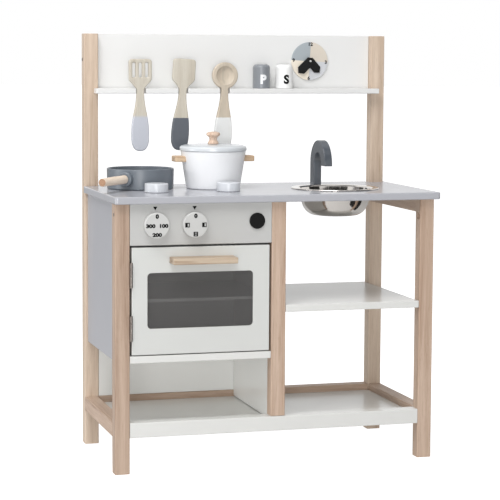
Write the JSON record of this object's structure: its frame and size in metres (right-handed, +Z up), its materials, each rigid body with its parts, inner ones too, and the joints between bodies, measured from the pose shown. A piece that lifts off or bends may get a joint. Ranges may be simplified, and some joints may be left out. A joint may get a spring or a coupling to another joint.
{
  "type": "toy kitchen",
  "caption": "Free-standing children's play kitchen in birch and white boards with oven, sink, tap, clock shelf, hanging utensils, pot and pan.",
  "frame": {"origin": "on the floor, under the middle of the whole footprint, pan handle and door pull included", "axes": "+X to the right seen from the front, +Y towards the back, +Z up"},
  "size_m": [0.6232, 0.3344, 0.7827],
  "materials": {
    "birch": "clear matt lacquer over pale birch",
    "white_paint": "satin white paint on board",
    "white_lacquer": "satin white lacquer on turned wood",
    "grey_paint": "satin light grey paint on board",
    "slate_lacquer": "satin slate grey lacquer",
    "black_paint": "satin black paint",
    "clock_print": "printed quarters in grey and cream under matt lacquer",
    "smoked_acrylic": "clear smoked sheet",
    "steel": "polished stainless steel",
    "hinge_steel": "zinc plated",
    "cap_steel": "dull zinc"
  },
  "bodies": {
    "cabinet": {"post_back_left": "birch", "post_back_right": "birch", "post_front_left": "birch", "post_front_right": "birch", "post_middle": "birch", "rail_bottom_left": "birch", "rail_bottom_right": "birch", "rail_bottom_back": "birch", "rail_bottom_front": "white_paint", "rail_top_right": "birch", "bottom_shelf": "white_paint", "oven_floor": "white_paint", "oven_shelf": "white_paint", "mid_shelf": "white_paint", "divider_panel": "white_paint", "side_panel_left": "grey_paint", "back_panel_lower": "white_paint", "back_panel_upper": "white_paint", "top_shelf": "white_paint", "worktop": "grey_paint", "control_panel": "white_paint", "badge": "black_paint", "clock_face": "clock_print", "clock_pin": "white_paint", "hinge_lower_frame_leaf": "hinge_steel", "hinge_lower_pin": "hinge_steel", "hinge_upper_frame_leaf": "hinge_steel", "hinge_upper_pin": "hinge_steel", "screw_cap_fascia_left": "cap_steel", "screw_cap_panel_left": "cap_steel", "screw_cap_panel_right": "cap_steel"},
    "door": {"oven_door": "white_paint", "oven_window": "smoked_acrylic", "door_handle": "birch", "hinge_lower_door_leaf": "hinge_steel", "hinge_upper_door_leaf": "hinge_steel"},
    "temperature_knob": {"oven_knob_temperature": "white_lacquer"},
    "mode_knob": {"oven_knob_mode": "white_lacquer"},
    "left_hob_knob": {"hob_knob_left": "white_lacquer"},
    "right_hob_knob": {"hob_knob_right": "white_lacquer"},
    "tap": {"faucet": "slate_lacquer"},
    "hour_hand": {"clock_hour_hand": "black_paint"},
    "minute_hand": {"clock_minute_hand": "black_paint"},
    "bowl": {"sink_bowl": "steel"},
    "slotted_spatula": {"spatula_slotted": "birch"},
    "flat_spatula": {"spatula_flat": "birch"},
    "ladle_spoon": {"ladle": "birch"},
    "pepper": {"pepper_shaker": "slate_lacquer"},
    "salt": {"salt_shaker": "white_lacquer"},
    "pan": {"pan_body": "slate_lacquer", "pan_handle": "birch"},
    "pot": {"pot_body": "white_lacquer", "pot_handle_left": "birch", "pot_handle_right": "birch"},
    "lid": {"pot_lid": "white_lacquer", "pot_lid_knob": "birch"}
  },
  "joints": [
    {"name": "door_hinge", "type": "hinge", "parent": "cabinet", "child": "door", "pos_m": [-0.26628, -0.13585, 0.3092], "axis": [0, 0, -1], "range_deg": [0, 150]},
    {"name": "temperature_knob_turn", "type": "hinge", "parent": "cabinet", "child": "temperature_knob", "pos_m": [-0.22158, -0.13285, 0.4447], "axis": [0, -1, 0], "continuous": true},
    {"name": "mode_knob_turn", "type": "hinge", "parent": "cabinet", "child": "mode_knob", "pos_m": [-0.15158, -0.13285, 0.4447], "axis": [0, -1, 0], "continuous": true},
    {"name": "left_hob_knob_turn", "type": "hinge", "parent": "cabinet", "child": "left_hob_knob", "pos_m": [-0.19858, -0.04085, 0.5], "axis": [0, 0, 1], "continuous": true},
    {"name": "right_hob_knob_turn", "type": "hinge", "parent": "cabinet", "child": "right_hob_knob", "pos_m": [-0.06308, -0.04085, 0.5], "axis": [0, 0, 1], "continuous": true},
    {"name": "tap_swivel", "type": "hinge", "parent": "cabinet", "child": "tap", "pos_m": [0.14767, 0.0904, 0.5], "axis": [0, 0, 1], "range_deg": [-90, 90]},
    {"name": "hour_hand_turn", "type": "hinge", "parent": "cabinet", "child": "hour_hand", "pos_m": [0.15492, 0.15435, 0.733], "axis": [0, -1, 0], "continuous": true},
    {"name": "minute_hand_turn", "type": "hinge", "parent": "cabinet", "child": "minute_hand", "pos_m": [0.15492, 0.15165, 0.733], "axis": [0, -1, 0], "continuous": true},
    {"name": "bowl_lift", "type": "slide", "parent": "cabinet", "child": "bowl", "axis": [0, 0, 1], "range_m": [0, 0.034]},
    {"name": "slotted_spatula_pull", "type": "slide", "parent": "cabinet", "child": "slotted_spatula", "axis": [0, -1, 0], "range_m": [0, 0.02]},
    {"name": "flat_spatula_pull", "type": "slide", "parent": "cabinet", "child": "flat_spatula", "axis": [0, -1, 0], "range_m": [0, 0.02]},
    {"name": "ladle_pull", "type": "slide", "parent": "cabinet", "child": "ladle_spoon", "axis": [0, -1, 0], "range_m": [0, 0.02]},
    {"name": "pepper_lift", "type": "slide", "parent": "cabinet", "child": "pepper", "axis": [0, 0, 1], "range_m": [0, 0.06]},
    {"name": "salt_lift", "type": "slide", "parent": "cabinet", "child": "salt", "axis": [0, 0, 1], "range_m": [0, 0.06]},
    {"name": "pan_lift", "type": "slide", "parent": "cabinet", "child": "pan", "axis": [-0.5, -0.5, 0.7071], "range_m": [0, 0.06]},
    {"name": "pot_lift", "type": "slide", "parent": "cabinet", "child": "pot", "axis": [0, 0, 1], "range_m": [0, 0.06]},
    {"name": "lid_lift", "type": "slide", "parent": "pot", "child": "lid", "axis": [0, 0, 1], "range_m": [0, 0.04]}
  ]
}
